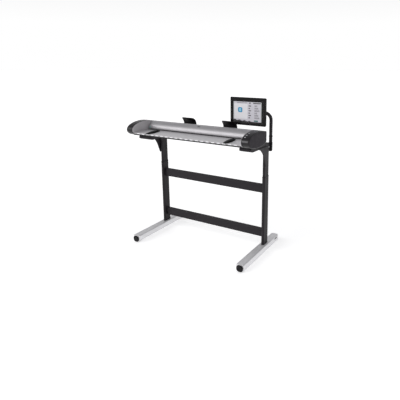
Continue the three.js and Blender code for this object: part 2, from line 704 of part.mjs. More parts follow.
function monitorScreen() {
  const height = MONITOR.top - MONITOR.bottom;
  const { x, width, bezel, front } = MONITOR;
  const [half, tall] = [width / 2 - bezel - GAP, height - 2 * bezel - 2 * GAP];
  const base = MONITOR.bottom + bezel + GAP;
  const sheet = block(x - half, x + half, front + 2, front + 7.4, base, base + tall);
  return part('monitor_screen', sheet, MATERIALS.screen);
}

// ---- Assembly -------------------------------------------------------------------------------
function scannerHead() {
  return group(
    ...bothSides((name, side) => [
      innerColumn(name, side),
      supportArm(name, side),
      armBolt(name, side),
      endCap(name, side),
      innerWall(name, side),
      lidPin(name, side),
    ]),
    chassis(),
    feedTable(),
    frontLip(),
    scanGlass(),
    sensorBar(),
    rearDeck(),
    driveRoller('front_drive_roller', DRIVE.frontY),
    driveRoller('rear_drive_roller', DRIVE.rearY),
    driveMotor(),
    motorPulley(),
    driveBelt(),
    ...electronics(),
    socketHousing('power_inlet', INLET, MATERIALS.blackPlastic),
    socketHousing('data_port', DATA_PORT, MATERIALS.steel),
    powerSwitch(),
    ...BUTTONS.map(capButton),
    monitorPost(),
  );
}

function lid() {
  return group(
    lidShell(),
    platen(),
    statusLamp(),
    pinchRoller('front_pinch_roller', DRIVE.frontY),
    pinchRoller('rear_pinch_roller', DRIVE.rearY),
  );
}

function accessories() {
  return group(...bothSides((name, side) => [paperGuide(name, side), returnFin(name)]));
}

function monitor() {
  return group(monitorArm(), monitorBack(), monitorBezel(), monitorScreen());
}

const scanner = group(stand(), scannerHead(), lid(), accessories(), monitor());
scanner.position.y = -(FOOT.front + FOOT.rear) / 2;

export default scanner;
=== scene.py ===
"""The looks of a wide-format sheet-feed scanner on a stand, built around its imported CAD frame.

Metres, +X to the operator's right, +Y away from the operator, +Z up. Outlines and sizes are given in
millimetres, with depths measured from the columns' centre plane, as in the CAD source.
"""

import math

import bmesh
import bpy
from mathutils import Matrix, Vector


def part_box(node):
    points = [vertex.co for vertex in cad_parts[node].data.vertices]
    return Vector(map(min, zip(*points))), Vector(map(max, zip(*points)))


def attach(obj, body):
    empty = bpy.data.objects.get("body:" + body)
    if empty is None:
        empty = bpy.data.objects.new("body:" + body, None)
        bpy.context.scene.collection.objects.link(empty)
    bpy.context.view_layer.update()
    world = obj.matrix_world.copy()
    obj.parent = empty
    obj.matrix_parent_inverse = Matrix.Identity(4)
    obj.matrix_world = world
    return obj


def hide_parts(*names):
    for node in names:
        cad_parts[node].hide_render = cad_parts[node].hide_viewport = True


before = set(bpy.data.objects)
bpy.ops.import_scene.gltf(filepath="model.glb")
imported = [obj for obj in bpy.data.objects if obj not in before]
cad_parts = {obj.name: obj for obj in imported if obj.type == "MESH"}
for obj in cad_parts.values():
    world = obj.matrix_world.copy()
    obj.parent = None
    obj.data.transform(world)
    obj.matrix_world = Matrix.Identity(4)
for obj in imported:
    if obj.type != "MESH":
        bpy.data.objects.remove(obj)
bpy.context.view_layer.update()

MM = 0.001
SIDES = {"left": -1, "right": 1}
COLUMN_Y = sum(corner.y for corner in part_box("left_outer_column")) / 2


def span(node):
    """A CAD node's lowest and highest corner in millimetres, with depths from the columns' centre plane."""
    low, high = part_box(node)
    shift = Vector((0, COLUMN_Y, 0))
    return (low - shift) / MM, (high - shift) / MM


def midpoint(low, high, axes):
    """The middle of a box along each of the named axes."""
    return tuple((getattr(low, axis) + getattr(high, axis)) / 2 for axis in axes)


def place(x, y, z):
    """A point in the frame, in metres, from millimetres."""
    return Vector((x * MM, COLUMN_Y + y * MM, z * MM))


# ---- Outlines: lists of (a, b) pairs ------------------------------------------------------------
def bezier_point(controls, t):
    while len(controls) > 1:
        controls = [tuple(a + (b - a) * t for a, b in zip(p, q)) for p, q in zip(controls, controls[1:])]
    return controls[0]


def line_through(start, *stretches, steps=10):
    """Each stretch is its Bezier control points and its end, or only its end where it is straight."""
    points = [start]
    for stretch in stretches:
        controls = [points[-1], *stretch]
        count = 1 if len(stretch) == 1 else steps
        points += [bezier_point(controls, (i + 1) / count) for i in range(count)]
    return points


def arc(centre, radius, start, end, steps=6):
    """Points on an arc, with its angles in degrees."""
    angles = [math.radians(start + (end - start) * i / steps) for i in range(steps + 1)]
    return [(centre[0] + radius * math.cos(a), centre[1] + radius * math.sin(a)) for a in angles]


def rounded_rect(width, height, radius, centre=(0, 0), steps=6):
    a, b = width / 2 - radius, height / 2 - radius
    corners = [((a, b), 0), ((-a, b), 90), ((-a, -b), 180), ((a, -b), 270)]
    return [
        (centre[0] + p, centre[1] + q)
        for (middle, turn) in corners
        for p, q in arc(middle, radius, turn, turn + 90, steps)
    ]


def circle(radius, centre=(0, 0), steps=40):
    return arc(centre, radius, 0, 360, steps)[:-1]


def shrunk(outline, inset):
    """The outline scaled about the middle of its box, so that each side moves in by the inset."""
    lows = [min(p[k] for p in outline) for k in (0, 1)]
    highs = [max(p[k] for p in outline) for k in (0, 1)]
    centre = [(a + b) / 2 for a, b in zip(lows, highs)]
    scale = [1 - 2 * inset / (b - a) for a, b in zip(lows, highs)]
    return [tuple(centre[k] + (p[k] - centre[k]) * scale[k] for k in (0, 1)) for p in outline]


def moved_sideways(line, distance):
    """An open line moved to the right of its direction."""
    sides = []
    for (a, b), (c, d) in zip(line, line[1:]):
        length = math.hypot(c - a, d - b)
        sides.append(((d - b) / length, (a - c) / length))
    out = []
    for i, (a, b) in enumerate(line):
        p, q = sides[max(i - 1, 0)], sides[min(i, len(sides) - 1)]
        scale = distance / (1 + p[0] * q[0] + p[1] * q[1])
        out.append((a + (p[0] + q[0]) * scale, b + (p[1] + q[1]) * scale))
    return out


def sheet_section(line, thick):
    return line + moved_sideways(line, thick)[::-1]


# ---- Solids: (points, faces), in metres ----------------------------------------------------------
PLACERS = {
    "x": lambda p, along: place(along, p[0], p[1]),
    "y": lambda p, along: place(p[0], along, p[1]),
    "z": lambda p, along: place(p[0], p[1], along),
}


def loft(loops, ring=False):
    """A solid through loops of equal length: its ends are capped, or joined to each other in a ring."""
    count = len(loops[0])
    rows = len(loops)
    faces = []
    for row in range(rows if ring else rows - 1):
        a, b = row * count, (row + 1) % rows * count
        faces += [(a + i, a + (i + 1) % count, b + (i + 1) % count, b + i) for i in range(count)]
    if not ring:
        faces += [tuple(range(count))[::-1], tuple(range((rows - 1) * count, rows * count))]
    return [p for loop in loops for p in loop], faces


def pulled(outlines, axis, ring=False):
    """A solid through (outline, place along the axis) pairs."""
    put = PLACERS[axis]
    return loft([[put(p, along) for p in outline] for outline, along in outlines], ring)


def prism(outline, axis, start, end, radius=0.0, steps=4):
    """A straight pull, with both ends rounded over."""
    if not radius:
        return pulled([(outline, start), (outline, end)], axis)
    turns = [math.pi / 2 * i / steps for i in range(steps + 1)]
    insets = [(radius * (1 - math.sin(t)), radius * (1 - math.cos(t))) for t in turns]
    first = [(shrunk(outline, inset), start + run) for run, inset in reversed(insets)]
    last = [(shrunk(outline, inset), end - run) for run, inset in insets]
    return pulled(first + last, axis)


def pipe(outer, inner, axis, start, end, radius=0.8):
    """A straight tube with slightly rounded outer edges."""
    outlines = [
        (inner, start), (shrunk(outer, radius), start), (outer, start + radius),
        (outer, end - radius), (shrunk(outer, radius), end), (inner, end),
    ]
    return pulled(outlines, axis, ring=True)


def block(low, high, radius=1.0):
    """A box whose upright edges and two ends along Z are rounded."""
    middle = [(a + b) / 2 for a, b in zip(low, high)]
    outline = rounded_rect(high[0] - low[0], high[1] - low[1], radius * 1.01, middle[:2], 3)
    return prism(outline, "z", low[2], high[2], radius, 3)


def turned(profile, axis, centre, steps=40):
    """A solid of revolution: profile is (place along the axis, radius) pairs, centre the two other places."""
    return pulled([(circle(max(radius, 0.01), centre, steps), along) for along, radius in profile], axis)


def button_profile(start, end, radius, edge=1.0):
    """The profile of a disc with its far edge rounded."""
    rounding = [
        (end - edge * (1 - math.sin(t)), radius - edge * (1 - math.cos(t)))
        for t in (0, math.pi / 6, math.pi / 3, math.pi / 2)
    ]
    return [(start, radius), *rounding]


def seated(solid, seat):
    """A solid made about the frame's origin, in millimetres, put where a matrix says."""
    points, faces = solid
    return [seat @ (p - place(0, 0, 0)) for p in points], faces


def new_mesh(name, solids):
    points, faces = [], []
    for some_points, some_faces in solids:
        start = len(points)
        points += some_points
        faces += [tuple(start + i for i in face) for face in some_faces]
    mesh = bpy.data.meshes.new(name)
    mesh.from_pydata([tuple(p) for p in points], [], faces)
    shape = bmesh.new()
    shape.from_mesh(mesh)
    bmesh.ops.recalc_face_normals(shape, faces=shape.faces)
    shape.to_mesh(mesh)
    shape.free()
    return mesh


def new_object(name, mesh):
    made = bpy.data.objects.new(name, mesh)
    bpy.context.scene.collection.objects.link(made)
    return made


def carve(target, cutters):
    """Cuts closed solids out of an object's mesh."""
    tool = new_object("cutter", new_mesh("cutter", cutters))
    cut = target.modifiers.new("cut", "BOOLEAN")
    cut.operation = "DIFFERENCE"
    cut.solver = "EXACT"
    cut.object = tool
    bpy.context.view_layer.update()
    result = bpy.data.meshes.new_from_object(target.evaluated_get(bpy.context.evaluated_depsgraph_get()))
    target.modifiers.clear()
    target.data = result
    bpy.data.objects.remove(tool)


def smooth(thing, angle=32.0):
    mesh = thing.data
    mesh.polygons.foreach_set("use_smooth", [True] * len(mesh.polygons))
    mesh.set_sharp_from_angle(angle=math.radians(angle))
    normals = thing.modifiers.new("normals", "WEIGHTED_NORMAL")
    normals.keep_sharp = True


def piece(name, solids, finish, body, replaces=(), cuts=(), edge=0.0):
    """One visible piece: its solids, its finish, the body it rides on and the CAD nodes it stands for."""
    made = new_object(name, new_mesh(name, solids))
    if cuts:
        carve(made, cuts)
    if edge:
        bevel = made.modifiers.new("edges", "BEVEL")
        bevel.width = edge * MM
        bevel.segments = 3
        bevel.limit_method = "ANGLE"
        bevel.angle_limit = math.radians(32)
    smooth(made)
    slot, material = FINISHES[finish]
    made.data.materials.clear()
    made.data.materials.append(material)
    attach(made, body)
    if replaces:
        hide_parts(*([replaces] if isinstance(replaces, str) else replaces))
    return made


def keep(node, finish, edge=0.6):
    """A CAD node that stays, with softened edges and a finished material."""
    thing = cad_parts[node]
    slot, material = FINISHES[finish]
    for i in range(len(thing.material_slots)):
        thing.material_slots[i].link = "OBJECT"
        thing.material_slots[i].material = material
    weld = thing.modifiers.new("weld", "WELD")
    weld.merge_threshold = 0.00002
    planes = thing.modifiers.new("planes", "DECIMATE")
    planes.decimate_type = "DISSOLVE"
    planes.angle_limit = math.radians(1)
    bevel = thing.modifiers.new("edges", "BEVEL")
    bevel.width = edge * MM
    bevel.segments = 3
    bevel.limit_method = "ANGLE"
    bevel.angle_limit = math.radians(25)
    normals = thing.modifiers.new("normals", "WEIGHTED_NORMAL")
    normals.keep_sharp = True


# ---- Materials ----------------------------------------------------------------------------------
class Finish:
    """A procedural material. Its textures use object coordinates, which are metres in the frame."""

    def __init__(self, name, colour, roughness, metallic=0.0):
        self.material = bpy.data.materials.new(name)
        self.material.use_nodes = True
        self.tree = self.material.node_tree
        self.shader = self.tree.nodes["Principled BSDF"]
        self.colour = colour
        self.roughness = roughness
        self.set("Base Color", (*colour, 1.0))
        self.set("Roughness", roughness)
        self.set("Metallic", metallic)
        self.coords = self.tree.nodes.new("ShaderNodeTexCoord").outputs["Object"]
        self.height = None

    def set(self, socket, value):
        self.shader.inputs[socket].default_value = value
        return self

    def dulled(self, level):
        """Less reflection than bare plastic has, as on a matt or textured surface."""
        return self.set("Specular IOR Level", level)

    def link(self, source, target):
        self.tree.links.new(source, target)

    def noise(self, scale, detail=3.0, stretch=(1, 1, 1)):
        """Noise with so many features to the metre, stretched by scaling each axis."""
        mapping = self.tree.nodes.new("ShaderNodeMapping")
        mapping.inputs["Scale"].default_value = stretch
        self.link(self.coords, mapping.inputs["Vector"])
        noise = self.tree.nodes.new("ShaderNodeTexNoise")
        noise.inputs["Scale"].default_value = scale
        noise.inputs["Detail"].default_value = detail
        self.link(mapping.outputs["Vector"], noise.inputs["Vector"])
        return noise.outputs["Fac"]

    def ranged(self, source, low, high):
        node = self.tree.nodes.new("ShaderNodeMapRange")
        node.inputs["From Min"].default_value = 0.3
        node.inputs["From Max"].default_value = 0.7
        node.inputs["To Min"].default_value = low
        node.inputs["To Max"].default_value = high
        self.link(source, node.inputs["Value"])
        return node.outputs["Result"]

    def tint(self, source, spread):
        """Colour that varies about the base by the spread, from dark to light."""
        ramp = self.tree.nodes.new("ShaderNodeValToRGB")
        for element, place_, factor in zip(ramp.color_ramp.elements, (0.3, 0.7), (1 - spread, 1 + spread)):
            element.position = place_
            element.color = (*[min(c * factor, 1.0) for c in self.colour], 1.0)
        self.link(source, ramp.inputs["Fac"])
        self.link(ramp.outputs["Color"], self.shader.inputs["Base Color"])
        return self

    def rough(self, source, spread):
        self.link(self.ranged(source, self.roughness - spread, self.roughness + spread),
                  self.shader.inputs["Roughness"])
        return self

    def bump(self, source, depth, strength=1.0):
        """Adds relief of so many millimetres, on top of any relief there is already."""
        node = self.tree.nodes.new("ShaderNodeBump")
        node.inputs["Distance"].default_value = depth * MM
        node.inputs["Strength"].default_value = strength
        self.link(source, node.inputs["Height"])
        if self.height:
            self.link(self.height, node.inputs["Normal"])
        self.height = node.outputs["Normal"]
        self.link(self.height, self.shader.inputs["Normal"])
        return self


def moulded(name, colour, roughness, grain=1400, depth=0.05, spread=0.08):
    """Injection-moulded plastic with a spark-eroded grain and slight flow marks."""
    made = Finish(name, colour, roughness)
    made.tint(made.noise(7, 4), spread)
    made.rough(made.noise(38, 3), 0.06)
    made.bump(made.noise(grain, 2), depth)
    return made


def painted(name, colour, roughness):
    """Powder coat: a fine orange peel with speckles in it."""
    made = Finish(name, colour, roughness)
    made.tint(made.noise(900, 2), 0.14)
    made.rough(made.noise(12, 4), 0.05)
    made.bump(made.noise(420, 2), 0.09)
    made.bump(made.noise(2400, 1), 0.02)
    return made


def brushed(name, colour, roughness, along, metallic=1.0, depth=0.03, lines=900, spread=0.07):
    """Brushed metal, with its lines along one axis."""
    stretch = tuple(0.012 if axis == along else 1.0 for axis in "xyz")
    made = Finish(name, colour, roughness, metallic)
    strokes = made.noise(lines, 3, stretch)
    made.tint(strokes, spread)
    made.rough(made.noise(lines * 0.6, 2, stretch), 0.07)
    made.bump(strokes, depth)
    return made


def lacquered(name, colour, roughness):
    """Silver lacquer: fine metal flake under a clear coat."""
    made = Finish(name, colour, roughness, 0.6)
    made.tint(made.noise(2600, 1), 0.07)
    made.rough(made.noise(16, 4), 0.04)
    made.bump(made.noise(1800, 1), 0.012)
    made.set("Coat Weight", 0.25)
    made.set("Coat Roughness", 0.12)
    return made


def rubbery(name, colour):
    made = Finish(name, colour, 0.82)
    made.tint(made.noise(60, 4), 0.2)
    made.bump(made.noise(900, 3), 0.12)
    return made


def glassy():
    made = Finish("clear_glass", (0.72, 0.83, 0.81), 0.04)
    made.set("Transmission Weight", 0.85)
    made.set("IOR", 1.5)
    made.rough(made.noise(9, 3), 0.02)
    made.tint(made.noise(4, 2), 0.03)
    return made


def lit(name, colour, strength, spread=0.03):
    """A lit display area: faint mottling in its glow, under glossy glass."""
    made = Finish(name, colour, 0.16)
    made.tint(made.noise(26, 3), spread)
    ramp = made.shader.inputs["Base Color"].links[0].from_socket
    made.link(ramp, made.shader.inputs["Emission Color"])
    made.set("Emission Strength", strength)
    made.rough(made.noise(14, 2), 0.03)
    return made


def circuit_board():
    """Solder mask with a weave of fine traces."""
    made = Finish("solder_mask", (0.02, 0.13, 0.05), 0.4)
    made.tint(made.noise(240, 1, (1, 1, 0.15)), 0.35)
    made.bump(made.noise(500, 1, (1, 0.2, 1)), 0.04)
    return made


FINISHES = {
    "paint": ("black_paint", painted("powder_coat", (0.015, 0.013, 0.0155), 0.5).dulled(0.17)),
    "black": ("black_plastic", moulded("black_moulding", (0.0045, 0.004, 0.0048), 0.42).dulled(0.18)),
    "leaf": (
        "black_plastic", moulded("leaf_moulding", (0.005, 0.0046, 0.0052), 0.4, depth=0.02).dulled(0.08),
    ),
    "bezel": (
        "black_plastic", moulded("bezel_moulding", (0.004, 0.0036, 0.004), 0.24, depth=0.02).dulled(0.14),
    ),
    "shell": ("charcoal", moulded("cap_moulding", (0.008, 0.007, 0.0085), 0.34).dulled(0.26)),
    "panel": ("charcoal", moulded("panel_moulding", (0.019, 0.0158, 0.0205), 0.6).dulled(0.14)),
    "wall": ("grey_plastic", moulded("wall_moulding", (0.40, 0.385, 0.40), 0.5)),
    "lid": ("silver", lacquered("lid_lacquer", (0.35, 0.342, 0.355), 0.46)),
    "table": ("silver", brushed("table_metal", (0.62, 0.61, 0.625), 0.42, "x", 0.35)),
    # Light dashes that paint the highlight along the feed table's front edge.
    "highlight_dashes": ("silver", moulded("painted_edge_glint", (0.8, 0.8, 0.82), 0.45)),
    "band": ("silver", brushed("band_metal", (0.26, 0.255, 0.265), 0.5, "x", 0.3)),
    "rail": ("aluminium", brushed("rail_metal", (0.74, 0.735, 0.75), 0.4, "y", 0.65)),
    "steel": ("steel", brushed("plated_steel", (0.42, 0.42, 0.44), 0.35, "x", 1.0, 0.02)),
    "glass": ("glass", glassy()),
    "rubber": ("rubber", rubbery("roller_rubber", (0.012, 0.012, 0.012))),
    "white": ("white_plastic", moulded("white_moulding", (0.82, 0.82, 0.8), 0.5)),
    "key": ("charcoal", moulded("key_moulding", (0.06, 0.058, 0.062), 0.35)),
    "button": ("button_grey", moulded("button_moulding", (0.42, 0.42, 0.44), 0.45)),
    "lens": ("teal_lens", lit("teal_lens", (0.02, 0.32, 0.28), 0.5)),
    "board": ("circuit_board", circuit_board()),
    "screen": ("screen", lit("screen_ground", (0.36, 0.35, 0.385), 0.30)),
    "screen_card": ("screen", lit("screen_card", (0.44, 0.435, 0.455), 0.34)),
    "screen_edge": ("screen", lit("screen_edge", (0.26, 0.28, 0.28), 0.2)),
    # Dark bars of the display, and one painted reflection of the bezel across the top right of the screen.
    "screen_bezel_reflection_and_bar": ("screen", lit("screen_bezel_reflection_and_bar", (0.035, 0.033, 0.037), 0.05)),
    "screen_text": ("screen", lit("screen_blocks", (0.085, 0.08, 0.09), 0.06)),
    # Painted shade from the bezel along the bottom of the screen.
    "screen_painted_shade": ("screen", lit("screen_painted_shade", (0.05, 0.05, 0.052), 0.05, 0.3)),
    "screen_blue": ("screen", lit("screen_blue", (0.004, 0.15, 0.28), 0.34)),
    "screen_page": ("screen", lit("screen_page", (0.22, 0.42, 0.52), 0.3)),
    "screen_teal": ("screen", lit("screen_teal", (0.02, 0.09, 0.09), 0.2)),
}
FINISHES = {key: (slot, made.material) for key, (slot, made) in FINISHES.items()}


# ---- Stand --------------------------------------------------------------------------------------
FOOT_PLAN_RADIUS = 24
FOOT_SLOT = {"width": 62, "height": 13, "radius": 6, "centre": (185, 54.5), "depth": 7}
FRONT_PLUG = (64, 62, 25)
REAR_PLUG = (30, 50, 13)
PLUG_HEIGHT = 35
GLIDE_INSET = 45


def rail_half_section(half, bottom, top):
    """The right half of a foot rail's outline, from the middle of its top round to the middle of its base."""
    grooves = [(x + dx, top - dz) for x in range(3, 28, 5) for dx, dz in ((-0.8, 0), (0, 0.8), (0.8, 0))]
    edge = [(29.2, top), (29.5, top - 2.8), (32, top - 2.8), (32.4, top - 0.1)]
    shoulder = arc((half - 7, top - 7), 7, 90, 0)
    heel = arc((half - 5, bottom + 5), 5, 0, -90, 4)
    return grooves + edge + shoulder[1:] + heel


def build_foot(name):
    low, high = span(f"{name}_foot")
    middle = (low.x + high.x) / 2
    half = (high.x - low.x) / 2
    right = rail_half_section(half, low.z, high.z)
    section = right + [(-x, z) for x, z in reversed(right)]

    def station(y, width=1.0, inset=0.0):
        return [(middle + x * width, z) for x, z in shrunk(section, inset)], y

    stations = [station(low.y, inset=3), station(low.y + 0.9, inset=0.9), station(low.y + 3)]
    for i in range(9):
        turn = math.pi / 2 * i / 8
        width = (half - FOOT_PLAN_RADIUS * (1 - math.cos(turn))) / half
        end = high.y - FOOT_PLAN_RADIUS * (1 - math.sin(turn))
        stations.append(station(end, width, 1.5 if i == 8 else 0))
    outer = high.x if SIDES[name] > 0 else low.x
    depth = FOOT_SLOT["depth"]
    slot = rounded_rect(FOOT_SLOT["width"], FOOT_SLOT["height"], FOOT_SLOT["radius"], FOOT_SLOT["centre"])
    cut = prism(slot, "x", outer - depth, outer + depth)
    piece(f"{name}_foot_rail", [pulled(stations, "y")], "rail", "stand", f"{name}_foot", [cut])
    floor = outer - SIDES[name] * depth
    insert = prism(shrunk(slot, 0.6), "x", *sorted((floor, floor + SIDES[name] * 4)), 1)
    piece(f"{name}_foot_slot_insert", [insert], "black", "stand")


def build_foot_cap(name, end):
    """A rounded plug on the rail's end, and the glide under the rail."""
    low, high = span(f"{name}_{end}_foot_cap")
    middle = (low.x + high.x) / 2
    front = end == "front"
    outline = rounded_rect(*(FRONT_PLUG if front else REAR_PLUG), (middle, PLUG_HEIGHT), 8)
    face = low.y if front else high.y
    out = -1 if front else 1
    plug = prism(outline, "y", *sorted((face, face - out * 13)), 6, 5)
    boss = turned(
        [(face - out * depth, radius) for depth, radius in ((3, 13), (0.9, 13), (0.2, 12), (0.2, 8), (1, 7))],
        "y", (middle, PLUG_HEIGHT),
    )
    glide_y = face - out * GLIDE_INSET
    pad = turned([(0, 18), (1.2, 20), (5, 20), (7, 17.5), (8, 8), (10, 6), (13.5, 6)], "z", (middle, glide_y))
    near, far = sorted((face - out * 9, glide_y))
    shelf = block((middle - 15, near, 9.5), (middle + 15, far, 12.5))
    piece(f"{name}_{end}_foot_plug", [plug, boss], "black", "stand", f"{name}_{end}_foot_cap")
    piece(f"{name}_{end}_glide", [pad, shelf], "rubber", "stand")


def column_outline(node, corner, wall=0.0, groove=0.0):
    """A column's section, with a shallow groove down the middle of its two wide faces."""
    low, high = span(node)
    half_x, half_y = (high.x - low.x) / 2 - wall, (high.y - low.y) / 2 - wall
    middle = (low.x + high.x) / 2
    right = arc((half_x - corner, -half_y + corner), corner, -90, 0)
    dip = [(half_x, -2.2), (half_x - groove, -1.2), (half_x - groove, 1.2), (half_x, 2.2)]
    quarter = right + dip + [(x, -y) for x, y in reversed(right)]
    return [(middle + x, y) for x, y in quarter + [(-x, y) for x, y in reversed(quarter)]]


def build_column(name):
    for kind, corner, body in (("outer", 12, "stand"), ("inner", 9.5, "head")):
        node = f"{name}_{kind}_column"
        low, high = span(node)
        walls = [column_outline(node, corner, 0, 0.9), column_outline(node, corner - 2, 2)]
        piece(f"{node}_tube", [pipe(*walls, "z", low.z, high.z)], "paint", body, node)
    low, high = span(f"{name}_column_collar")
    middle = (low.x + high.x) / 2
    outer = rounded_rect(high.x - low.x, high.y - low.y, 13.6, (middle, 0), 8)
    bore = rounded_rect(26.2, 89.4, 9.5, (middle, 0), 8)
    ring = pipe(outer, bore, "z", low.z, high.z, 2)
    piece(f"{name}_collar", [ring], "black", "stand", f"{name}_column_collar")
    foot_top = span(f"{name}_outer_column")[0].z
    flange = rounded_rect(34, 98, 14, (middle, 0), 8)
    hole = rounded_rect(30.6, 94.6, 12.3, (middle, 0), 8)
    gasket = pipe(flange, hole, "z", foot_top, foot_top + 3, 1)
    piece(f"{name}_column_gasket", [gasket], "black", "stand")


def build_crossbar(name):
    low, high = span(f"{name}_crossbar")
    centre = midpoint(low, high, "yz")
    depth, height = high.y - low.y, high.z - low.z
    outer, inner = rounded_rect(depth, height, 5, centre), rounded_rect(depth - 5, height - 5, 3, centre)
    tube = pipe(outer, inner, "x", low.x, high.x)
    piece(f"{name}_crossbar_tube", [tube], "paint", "stand", f"{name}_crossbar")
    screws = []
    for side in SIDES.values():
        for z in (centre[1] - 24, centre[1] + 24):
            face = high.y
            spot = (side * (high.x - 22), z)
            screws.append(turned(button_profile(face - 1, face + 2.6, 5.5), "y", spot, 24))
    piece(f"{name}_crossbar_screws", screws, "steel", "stand")


def socket_screw(centre, axis, face, out, radius, height, depth):
    """A screw head standing out from a face along an axis, and the cutter for its hexagon socket."""
    far = face + out * height
    rounding = [(far - out * 0.8, radius), (far - out * 0.2, radius - 0.3), (far, radius - 0.9)]
    head = turned([(face, radius), *rounding], axis, centre, 32)
    hexagon = arc(centre, radius * 0.45, 0, 360, 6)[:-1]
    return head, prism(hexagon, axis, *sorted((far - out * depth, far + out)))


def build_clamp(name):
    low, high = span(f"{name}_clamp_screw")
    centre = midpoint(low, high, "xz")
    head, socket = socket_screw(centre, "y", low.y, 1, 8, high.y - low.y, 2.5)
    piece(f"{name}_clamp_head", [head], "steel", f"{name}_clamp", f"{name}_clamp_screw", [socket])


def build_stand():
    for name in SIDES:
        build_foot(name)
        build_foot_cap(name, "front")
        build_foot_cap(name, "rear")
        build_column(name)
        build_clamp(name)
    for name in ("lower", "upper"):
        build_crossbar(name)


# ---- Brackets -----------------------------------------------------------------------------------
def build_bracket(name):
    side = SIDES[name]
    keep(f"{name}_support_arm", "paint", 1.6)
    low, high = span(f"{name}_arm_bolt")
    centre = midpoint(low, high, "yz")
    head, socket = socket_screw(centre, "x", low.x if side > 0 else high.x, side, 7, high.x - low.x, 3)
    piece(f"{name}_bolt_head", [head], "steel", "head", f"{name}_arm_bolt", [socket])


# ---- Scanner ends ---------------------------------------------------------------------------------
CAP_LINE = line_through(
    (-128, 1104), [(-128, 1188)], [(-128, 1196), (-138, 1198)],
    [(-185, 1207), (-220, 1216), (-270, 1217)], [(-350, 1219), (-466, 1197), (-466, 1146)],
    [(-466, 1126), (-446, 1105), (-412, 1094)], [(-372, 1083), (-332, 1076), (-296, 1076)],
    [(-238, 1076)], [(-200, 1078), (-160, 1092), (-128, 1104)], steps=14,
)[:-1]
CAP_WALL = 4
SLIT = 3.2
BUTTONS = {
    "upper": ("upper_button", 615, -364, 14, 9, "button"),
    "middle": ("middle_button", 615, -405, 14, 9, "button"),
    "lower": ("lower_button", 615, -434, 14, 9, "button"),
    "wide": ("wide_button", 630, -464.4, 54, 14, "key"),
}


def on_cap_front(y):
    """The matrix that puts +Z outwards from the cap's upper front curve at a given depth."""
    front = [p for p in CAP_LINE if p[1] > 1145 and p[0] < -270]
    after = next(i for i, p in enumerate(front) if p[0] < y)
    (a, b), (c, d) = front[after - 1], front[after]
    z = b + (y - a) / (c - a) * (d - b)
    out = Vector((0, d - b, a - c)).normalized()
    across = Vector((0, out.z, -out.y))
    axes = Matrix((Vector((1, 0, 0)), across, out)).transposed().to_4x4()
    return z, axes


def button_solid(x, y, width, length, grow, low, high, radius=0.0):
    """A rounded block standing on the cap's front curve."""
    z, axes = on_cap_front(y)
    outline = rounded_rect(width + 2 * grow, length + 2 * grow, 3)
    return seated(prism(outline, "z", low, high, radius, 3), Matrix.Translation(place(x, y, z)) @ axes)


def build_cap(name):
    side = SIDES[name]
    low, high = span(f"{name}_end_cap")
    inner, outer = (low.x, high.x) if side > 0 else (high.x, low.x)
    rows = [(inner, 1.2), (inner + side * 0.5, 0.4), (inner + side * 1.6, 0)]
    rows += [(inner + side * run, inset) for run, inset in ((11, 0), (11.4, 0.9), (12.4, 0.9), (12.8, 0))]
    rows += [
        (outer - side * (1.2 + 6 * (1 - math.sin(t))), 5 * (1 - math.cos(t)))
        for t in [math.pi / 2 * i / 7 for i in range(8)]
    ]
    shell = pulled([(shrunk(CAP_LINE, inset), x) for x, inset in rows], "x")
    cuts = [prism(shrunk(CAP_LINE, CAP_WALL), "x", *sorted((inner - side, outer - side * CAP_WALL)))]
    if side > 0:
        cuts += [button_solid(*button[1:5], 0.5, -3, 4) for button in BUTTONS.values()]
        for i in range(6):
            slit = rounded_rect(46, SLIT, 1.5, (630, 1124 + 8 * i))
            cuts.append(prism(slit, "y", high.y - 5, high.y + 5))
    for i in range(5):
        slit = rounded_rect(SLIT, 70, 1.5, (side * (608 + 9 * i), -270))
        cuts.append(prism(slit, "z", low.z - 6, low.z + 6))
    piece(f"{name}_cap_shell", [shell], "shell", "head", f"{name}_end_cap", cuts)
    cover_line = shrunk(CAP_LINE, 6.4)
    start = outer - side * 1.5
    cover = prism(cover_line, "x", *sorted((start, outer)), 1, 3)
    piece(f"{name}_cap_cover", [cover], "panel", "head")


def build_buttons():
    for key, (node, x, y, width, length, finish) in BUTTONS.items():
        solid = button_solid(x, y, width, length, 0, -0.8, 1.6, 0.7)
        piece(f"{key}_key_cap", [solid], finish, f"{key}_key", node)


def build_inner_wall(name):
    low, high = span(f"{name}_inner_wall")
    outline = shrunk(CAP_LINE, 1.6)
    plate = prism(outline, "x", low.x, high.x, 0.6, 3)
    cuts = []
    if name == "left":
        cuts = [turned([(low.x - 2, 5), (high.x + 2, 5)], "x", (y, 1113)) for y in (-212, -152)]
    piece(f"{name}_wall_plate", [plate], "wall", "head", f"{name}_inner_wall", cuts)


# ---- Scanner body -----------------------------------------------------------------------------------
TABLE_RISE = 2
TABLE_THICKNESS = 2.5
GROOVE_OFFSETS = (26, 29)
MARK_PITCH = 56
MARK_LENGTH = 31


